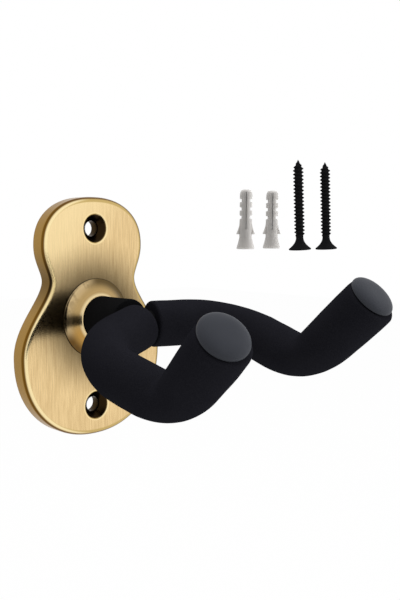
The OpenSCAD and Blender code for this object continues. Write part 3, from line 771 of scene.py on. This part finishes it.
# %% A wire
class Wire:
    """A socket that can be used like a number: each operator adds a Math node."""

    def __init__(self, finish, socket):
        self.finish, self.socket = finish, socket

    def math(self, operation, *values):
        return self.finish.node("ShaderNodeMath", {"operation": operation}, dict(enumerate(values)))

    def __add__(self, other):
        return self.math("ADD", self, other)

    def __radd__(self, other):
        return self.math("ADD", other, self)

    def __sub__(self, other):
        return self.math("SUBTRACT", self, other)

    def __rsub__(self, other):
        return self.math("SUBTRACT", other, self)

    def __mul__(self, other):
        return self.math("MULTIPLY", self, other)

    def __rmul__(self, other):
        return self.math("MULTIPLY", other, self)

    def __pow__(self, other):
        return self.math("POWER", self, other)

    def __abs__(self):
        return self.math("ABSOLUTE", self)

    def output(self, name):
        """Another output of the same node."""
        return Wire(self.finish, self.socket.node.outputs[name])


# %% A finish
class Finish:
    """A tree of nodes, for a material or for the world."""

    def __init__(self, owner):
        owner.use_nodes = True
        self.owner, self.tree = owner, owner.node_tree
        self.tree.nodes.clear()

    def node(self, kind, settings=None, sockets=None, out=0):
        """Adds a node: its settings are set first, then its sockets get a value or a wire."""
        made = self.tree.nodes.new(kind)
        for key, value in (settings or {}).items():
            setattr(made, key, value)
        for key, value in (sockets or {}).items():
            if isinstance(value, Wire):
                self.tree.links.new(value.socket, made.inputs[key])
            else:
                made.inputs[key].default_value = value
        return Wire(self, made.outputs[out] if made.outputs else None)

    def place(self, output="Object"):
        return self.node("ShaderNodeTexCoord", out=output)

    def xyz(self, vector):
        split = self.node("ShaderNodeSeparateXYZ", sockets={"Vector": vector})
        return split, split.output("Y"), split.output("Z")

    def vector(self, x, y, z):
        return self.node("ShaderNodeCombineXYZ", sockets={"X": x, "Y": y, "Z": z})

    def noise(self, place, scale, detail=2.0):
        """Noise from 0 to 1; scale is lumps per metre, one number or one for each axis."""
        if not isinstance(scale, (int, float)):
            place = self.node("ShaderNodeMapping", sockets={"Vector": place, "Scale": scale})
            scale = 1.0
        return self.node("ShaderNodeTexNoise", sockets={
            "Vector": place, "Scale": scale, "Detail": detail})

    def between(self, value, low, high):
        """0 below low, 1 above high, and an even S between."""
        return self.node("ShaderNodeMapRange", {"interpolation_type": "SMOOTHSTEP", "clamp": True},
                         {"Value": value, "From Min": low, "From Max": high})

    def between_mm(self, length, low, high):
        """The same for a length, with both ends in millimetres."""
        return self.between(length, low * MM, high * MM)

    def mix(self, mask, below, above):
        """One colour over another where the mask is 1."""
        return self.node("ShaderNodeMix", {"data_type": "RGBA"}, {0: mask, 6: below, 7: above}, out=2)

    def bump(self, height, depth, strength=1.0):
        return self.node("ShaderNodeBump", sockets={
            "Height": height, "Distance": depth, "Strength": strength})

    def seen(self):
        """1 for what the camera, a mirror or glass shows, and 0 for light that falls on a piece."""
        path = self.node("ShaderNodeLightPath", out="Is Camera Ray")
        mirror, glass = path.output("Is Glossy Ray"), path.output("Is Transmission Ray")
        return path.math("MAXIMUM", path, path.math("MAXIMUM", mirror, glass))

    def surface(self, **sockets):
        """The closing shader; socket names are written with _ for a space."""
        named = {key.replace("_", " "): value for key, value in sockets.items()}
        shader = self.node("ShaderNodeBsdfPrincipled", sockets=named)
        self.node("ShaderNodeOutputMaterial", sockets={"Surface": shader})
        return self.owner


# %% Colours
def shade(red, green, blue):
    """A colour as a screen shows it, 0 to 255, turned into light."""
    def light(c):
        c /= 255
        return c / 12.92 if c <= 0.04045 else ((c + 0.055) / 1.055) ** 2.4
    return light(red), light(green), light(blue), 1.0


def wear(target, material):
    """Gives a piece one material."""
    target.data.materials.clear()
    target.data.materials.append(material)
    print(f"{target.name} wears {material.name}, {len(material.node_tree.nodes)} nodes")


# %% [markdown]
# ## Brushed brass
# The plate is antique brass: it was darkened first, then brushed from top to bottom and buffed.
# Brushing leaves fine scratches, so the metal mirrors sharply along them and blurs across them. The
# shader's anisotropy does the blur, and a noise that is stretched along the scratches draws them.
# Where the brush did not reach, in the holes, the dark patina stays. Much light and shade is painted
# into the colour: a painted dark reflection of the post and arms round the boss, a painted highlight
# on the upper left of the face and round each hole, and on the edge painted shade on the side and
# along the back, a painted highlight on the rim at the left, painted shade on the rim at the right,
# and more painted shade in the hollow of the waist. So the colour of the edge is read from the
# normal, which says which part of the rounding a point lies on, and the colour of the face is read
# from its distance to the boss and to the holes.

# %% Brushed brass
FACE_GOLD, FACE_DEEP, FACE_HIGHLIGHT_GOLD = shade(243, 212, 157), shade(220, 189, 136), shade(255, 230, 175)
RIM_HIGHLIGHT_GOLD, RIM_DEEP, RIM_SHADE_BROWN = shade(253, 231, 177), shade(204, 176, 112), shade(118, 96, 60)
SIDE_SHADE_BROWN, SIDE_SHADE_DARK = shade(156, 121, 60), shade(108, 75, 24)
# the darkest brown: real patina in the holes, and painted shade in the waist and in the boss's seam
PATINA_AND_SHADE, POST_REFLECTION_DARK = shade(26, 20, 13), shade(54, 43, 26)
SCRATCH_PACE, STREAK_PACE = (9000, 300, 120), (3400, 60, 130)
SCRATCH_BAND, STREAK_BAND = (0.42, 0.58), (0.3, 0.7)
POST_REFLECTION_FROM, POST_REFLECTION_TO = BOSS_R - 4, BOSS_R + 18
SINK_FROM, SINK_TO = SINK_R - 0.4, SINK_R + 0.1
HOLE_HIGHLIGHT_FROM, HOLE_HIGHLIGHT_TO = SINK_R + 0.4, SINK_R + 1.0
FACE_HIGHLIGHT_FROM, FACE_HIGHLIGHT_TO, WAIST_SHADE_H, BACK_SHADE_FROM, BACK_SHADE_TO = 18, 54, 15, -0.9, -0.2
SHADE_LINE_FACING, RIM_FACING, FACE_FACING = (0.15, 0.4), (0.7, 0.93), (0.994, 0.9995)
RIM_HIGHLIGHT_LEFT, RIM_SHADE_RIGHT = (0.01, 0.1), (0.12, 0.4)
FACE_HIGHLIGHT_SHARE, POST_REFLECTION_SHARE, BACK_SHADE_SHARE, SINK_SHARE = 0.7, 0.85, 0.6, 0.92
WAIST_SHADE_SIDE, WAIST_SHADE_LINE, WAIST_SHADE_RIM = 0.55, 0.4, 0.5

brass = Finish(bpy.data.materials.new("brushed_brass"))
at = brass.place()
x, y, z = brass.xyz(at)
to_right, to_back, _ = brass.xyz(brass.place("Normal"))
facing = 0 - to_back
scratches = brass.noise(at, SCRATCH_PACE, detail=1)
streaks = brass.noise(at, STREAK_PACE)
from_boss = (x * x + z * z) ** 0.5
from_hole = (x * x + (abs(z) - HOLE_UP * MM) ** 2) ** 0.5
in_hole = 1 - brass.between_mm(from_hole, SINK_FROM, SINK_TO)
# painted highlight: a bright ring round the lip of each countersink
hole_highlight = 1 - brass.between_mm(from_hole, HOLE_HIGHLIGHT_FROM, HOLE_HIGHLIGHT_TO)
# painted dark reflection of the post and arms: the face darkens towards the boss
post_reflection = 1 - brass.between_mm(from_boss, POST_REFLECTION_FROM, POST_REFLECTION_TO)
# painted highlight: the face is lighter towards the upper left
face_highlight = brass.between_mm(z - x, FACE_HIGHLIGHT_FROM, FACE_HIGHLIGHT_TO)
# painted shade: the edge is darker in the hollow of the waist
waist_shade = 1 - brass.between_mm(abs(z - WAIST_Z * MM), 0, WAIST_SHADE_H)
grain = brass.between(scratches, *SCRATCH_BAND)
face = brass.mix(brass.between(streaks, *STREAK_BAND), FACE_DEEP, FACE_GOLD)
face = brass.mix(face_highlight * FACE_HIGHLIGHT_SHARE, face, FACE_HIGHLIGHT_GOLD)
face = brass.mix(post_reflection * POST_REFLECTION_SHARE, face, POST_REFLECTION_DARK)
face = brass.mix(hole_highlight, face, FACE_HIGHLIGHT_GOLD)
# painted shade: the side of the edge is darker than the face, with a darker line where the rounding
# starts
shade_line = brass.between(facing, *SHADE_LINE_FACING)
side = brass.mix(shade_line, SIDE_SHADE_BROWN, SIDE_SHADE_DARK)
# painted shade: darker along the back of the edge
side = brass.mix(brass.between_mm(y, BACK_SHADE_FROM, BACK_SHADE_TO) * BACK_SHADE_SHARE, side, SIDE_SHADE_DARK)
side = brass.mix(waist_shade * (WAIST_SHADE_SIDE + WAIST_SHADE_LINE * shade_line), side, PATINA_AND_SHADE)
# painted highlight on the rounded rim where it faces left, painted shade where it faces right
rim = brass.mix(brass.between(0 - to_right, *RIM_HIGHLIGHT_LEFT), RIM_DEEP, RIM_HIGHLIGHT_GOLD)
rim = brass.mix(brass.between(to_right, *RIM_SHADE_RIGHT), rim, RIM_SHADE_BROWN)
rim = brass.mix(waist_shade * WAIST_SHADE_RIM, rim, RIM_DEEP)
edge = brass.mix(brass.between(facing, *RIM_FACING), side, rim)
colour = brass.mix(brass.between(facing, *FACE_FACING), edge, face)
colour = brass.mix(in_hole * SINK_SHARE, colour, PATINA_AND_SHADE)
wear(plate, brass.surface(
    Base_Color=colour, Metallic=1.0, Roughness=0.26 - 0.04 * grain, Anisotropic=0.8))

# %% [markdown]
# ## Turned brass
# The boss has the marks of the lathe, which run round it. Its noise is read along the radius, so that
# each mark is a ring, and the anisotropy is turned by a quarter so that highlights fan out. Light and
# shade are painted into its colour: a painted highlight on the lip round the post and on the upper
# left of the rim, painted shade that makes the rest of the rim greyer, painted shade that makes the
# lower part warmer and darker, and painted shade in the seam at its edge. The rim is also a little
# blotched.

# %% Turned brass
BOSS_SHADE_AND_BLOTCH_GREY, BOSS_HIGHLIGHT_PALE, BOSS_SHADE_WARM = shade(100, 84, 55), shade(212, 186, 140), shade(100, 73, 37)
MIDDLE_GOLD, MIDDLE_SHADE_WARM, LIP_HIGHLIGHT_GOLD = shade(190, 160, 107), shade(192, 148, 78), shade(246, 222, 172)
MARK_BROWN = shade(112, 84, 42)
MARK_PACE, DRIFT_PACE, BLOTCH_PACE, BLOTCH_BAND = 2400, 40, 420, (0.45, 0.62)
BOSS_HIGHLIGHT_UP, BOSS_HIGHLIGHT_LEFT = 0.35, 0.9
LIP_HIGHLIGHT_FROM, LIP_HIGHLIGHT_TO, OUTER_FROM, OUTER_TO = 9.2, 10.6, 11.0, 14.8
SEAM_SHADE_FROM, SEAM_SHADE_TO = BOSS_R - 0.35, BOSS_R - 0.05
BOSS_HIGHLIGHT_FROM, BOSS_HIGHLIGHT_TO, LOWER_SHADE_FROM, LOWER_SHADE_TO, MIDDLE_SHADE_TO = 4, 11, 2, 9, 6
BLOTCH_SHARE, MARK_SHARE, SEAM_SHADE_SHARE = 0.35, 0.3, 0.8
MARK_DEPTH = 0.00002

lathed = Finish(bpy.data.materials.new("turned_brass"))
at = lathed.place()
x, y, _ = lathed.xyz(at)
down, upper_left = 0 - y, BOSS_HIGHLIGHT_UP * y - BOSS_HIGHLIGHT_LEFT * x
radius = (x * x + y * y) ** 0.5
round_it = lathed.vector(radius * MARK_PACE, x * DRIFT_PACE, y * DRIFT_PACE)
rings = lathed.noise(round_it, 1.0, detail=3)
blotches = lathed.between(lathed.noise(at, BLOTCH_PACE, detail=4), *BLOTCH_BAND)
outward = lathed.between_mm(radius, OUTER_FROM, OUTER_TO)
seam_shade = lathed.between_mm(radius, SEAM_SHADE_FROM, SEAM_SHADE_TO)
# painted highlight: the rim is paler towards the upper left; elsewhere it is grey, as painted shade
outer = lathed.mix(lathed.between_mm(upper_left, BOSS_HIGHLIGHT_FROM, BOSS_HIGHLIGHT_TO), BOSS_SHADE_AND_BLOTCH_GREY, BOSS_HIGHLIGHT_PALE)
# painted shade: the rim is warmer and darker towards the bottom
outer = lathed.mix(lathed.between_mm(down, LOWER_SHADE_FROM, LOWER_SHADE_TO), outer, BOSS_SHADE_WARM)
outer = lathed.mix(blotches * BLOTCH_SHARE, outer, BOSS_SHADE_AND_BLOTCH_GREY)
# painted shade: the middle is warmer and darker towards the bottom
middle = lathed.mix(lathed.between_mm(down, 0, MIDDLE_SHADE_TO), MIDDLE_GOLD, MIDDLE_SHADE_WARM)
# painted highlight: the lip round the post is bright
middle = lathed.mix(lathed.between_mm(radius, LIP_HIGHLIGHT_FROM, LIP_HIGHLIGHT_TO), LIP_HIGHLIGHT_GOLD, middle)
# the rim's painted shade and highlight take over from the middle outwards
colour = lathed.mix(outward, middle, outer)
colour = lathed.mix((1 - rings) * MARK_SHARE, colour, MARK_BROWN)
# painted shade in the seam at the boss's edge
colour = lathed.mix(seam_shade * SEAM_SHADE_SHARE, colour, PATINA_AND_SHADE)
wear(boss, lathed.surface(
    Base_Color=colour, Metallic=1.0, Roughness=0.16 + 0.1 * rings, Anisotropic=0.3,
    Anisotropic_Rotation=0.25, Normal=lathed.bump(rings, MARK_DEPTH, strength=0.2)))

# %% [markdown]
# ## Black foam
# The foam is closed-cell rubber: quite matt, with a fine grain of cut cells. Two noises and a cell
# pattern give the grain. It has no gloss at all, so only the lamps model its shape.

# %% Black foam
FOAM_DARK, FOAM_LIGHT = shade(26, 26, 31), shade(33, 33, 38)
TUBE_DARK, TUBE_LIGHT = shade(19, 19, 20), shade(23, 23, 24)
FOAM_GRAIN, TUBE_GRAIN, FOAM_CLOUDS = 0.00045, 0.0006, 90


def foam_finish(name, dark, light, grain_size, roughness):
    """A matt black with cut cells of a given size, in metres."""
    finish = Finish(bpy.data.materials.new(name))
    at = finish.place()
    cells = finish.node("ShaderNodeTexVoronoi", sockets={"Vector": at, "Scale": 1 / grain_size})
    grit = finish.noise(at, 1.6 / grain_size, detail=3)
    cloud = finish.noise(at, FOAM_CLOUDS)
    tone = finish.between(grit * 0.5 + cloud * 0.3 + cells * 0.4, 0.3, 0.8)
    return finish.surface(
        Base_Color=finish.mix(tone, dark, light), Roughness=roughness + 0.1 * tone,
        Specular_IOR_Level=0.0,
        Normal=finish.bump(cells * 0.6 + grit * 0.6, grain_size * 0.25, strength=0.6))


black_foam = foam_finish("black_foam", FOAM_DARK, FOAM_LIGHT, FOAM_GRAIN, 0.8)
for foam in foams.values():
    wear(foam, black_foam)
wear(cover, foam_finish("black_tube", TUBE_DARK, TUBE_LIGHT, TUBE_GRAIN, 0.6))

# %% [markdown]
# ## Grey plastic, nylon and black steel
# The smaller pieces share one way of thinking: a base colour, a slow cloud in it, a fine grain in the
# roughness, and a shallow bump. What differs is the colour, the shine, and the size of the grain.
# Nylon also lets some light in, so the plugs scatter it a few millimetres under their surface.

# %% Plastics and paint
FINE_CLOUDS = 160


def fine_finish(name, colour, other, shine, grain=0.0002, depth=0.00001, gloss=0.3, **fixed):
    """A finish with a slow cloud of colour and a fine grain."""
    finish = Finish(bpy.data.materials.new(name))
    at = finish.place()
    cloud = finish.noise(at, FINE_CLOUDS, detail=3)
    grit = finish.noise(at, 1 / grain)
    tone = finish.between(cloud * 0.6 + grit * 0.4, 0.3, 0.7)
    return finish.surface(
        Base_Color=finish.mix(tone, colour, other), Roughness=shine + 0.12 * grit,
        Specular_IOR_Level=gloss, Normal=finish.bump(grit, depth, strength=0.5), **fixed)


grey_plastic = fine_finish("grey_plastic", shade(54, 56, 62), shade(58, 60, 66), 0.45, gloss=0.12)
pale_nylon = fine_finish("pale_nylon", shade(190, 187, 184), shade(195, 192, 189), 0.45, gloss=0.0,
                         Subsurface_Weight=0.8, Subsurface_Radius=(1.0, 1.0, 1.0),
                         Subsurface_Scale=0.004)
white_nylon = fine_finish("white_nylon", shade(232, 230, 224), shade(240, 238, 233), 0.45)
black_steel = fine_finish("black_steel", shade(26, 26, 27), shade(31, 31, 32), 0.5,
                          grain=0.0004, depth=0.00003, gloss=0.0)
zinc = fine_finish("zinc_steel", shade(196, 198, 202), shade(212, 214, 217), 0.3, Metallic=1.0)
for cap in caps:
    wear(cap, grey_plastic)
for plug in plugs:
    wear(plug, pale_nylon)
for screw in screws:
    wear(screw, black_steel)
wear(bar, black_steel)
for node, material in (("swivel_bushing", white_nylon), ("swivel_post", black_steel),
                       ("flat_washer", zinc), ("spring_washer", zinc), ("lock_nut", zinc)):
    wear(solids[node], material)

# %% [markdown]
# ## Light and background
# The picture is a studio shot on white. The world gives an even light from all sides, and one large
# soft lamp from above and one from the side give shape to the foam. Straight to the camera, in
# mirrors and through glass, the world is plain white. The floor lies well below the hanger.

# %% World and lamps
WHITE, WORLD_LIGHT = (1, 1, 1, 1), 0.5
LAMPS_LOOK_AT = Vector((0, -0.05, 0))
world = bpy.data.worlds.new("studio")
scene.world = world
sky = Finish(world)
backdrop = sky.node("ShaderNodeBackground", sockets={
    "Color": WHITE, "Strength": WORLD_LIGHT + (1 - WORLD_LIGHT) * sky.seen()})
sky.node("ShaderNodeOutputWorld", sockets={"Surface": backdrop})


def soft_lamp(name, at, size, power):
    """A square lamp that looks at the hanger."""
    light = bpy.data.lights.new(name, "AREA")
    light.shape, light.size, light.energy = "SQUARE", size, power
    lamp = bpy.data.objects.new(name, light)
    lamp.location = at
    lamp.rotation_euler = (LAMPS_LOOK_AT - Vector(at)).to_track_quat("-Z", "Y").to_euler()
    lamp.visible_glossy = False
    scene.collection.objects.link(lamp)
    print(f"{name}: {power} W, {size} m wide")


soft_lamp("lamp_above", (0.15, 0.2, 1.2), 1.0, 11.0)
soft_lamp("lamp_right", (0.95, -0.95, 0.05), 1.2, 14.0)

# %% Floor
FLOOR_Z, FLOOR_HALF, FLOOR_WHITE, FLOOR_SPECKS = -0.3, 3.0, 0.98, 900
FLOOR_DARK, FLOOR_LIGHT = shade(232, 232, 230), shade(236, 236, 235)
floor_mesh = bpy.data.meshes.new("floor")
floor_mesh.from_pydata([(x * FLOOR_HALF, y * FLOOR_HALF, FLOOR_Z) for x, y in
                        ((-1, -1), (1, -1), (1, 1), (-1, 1))], [], [[0, 1, 2, 3]])
floor = bpy.data.objects.new("floor", floor_mesh)
scene.collection.objects.link(floor)
ground = Finish(bpy.data.materials.new("pale_floor"))
speck = ground.noise(ground.place(), FLOOR_SPECKS)
paint = ground.node("ShaderNodeBsdfDiffuse", sockets={
    "Color": ground.mix(speck, FLOOR_DARK, FLOOR_LIGHT)})
glow = ground.node("ShaderNodeEmission", sockets={"Color": WHITE, "Strength": 1.0})
both = ground.node("ShaderNodeMixShader", sockets={0: FLOOR_WHITE * ground.seen(), 1: paint, 2: glow})
ground.node("ShaderNodeOutputMaterial", sockets={"Surface": both})
wear(floor, ground.owner)
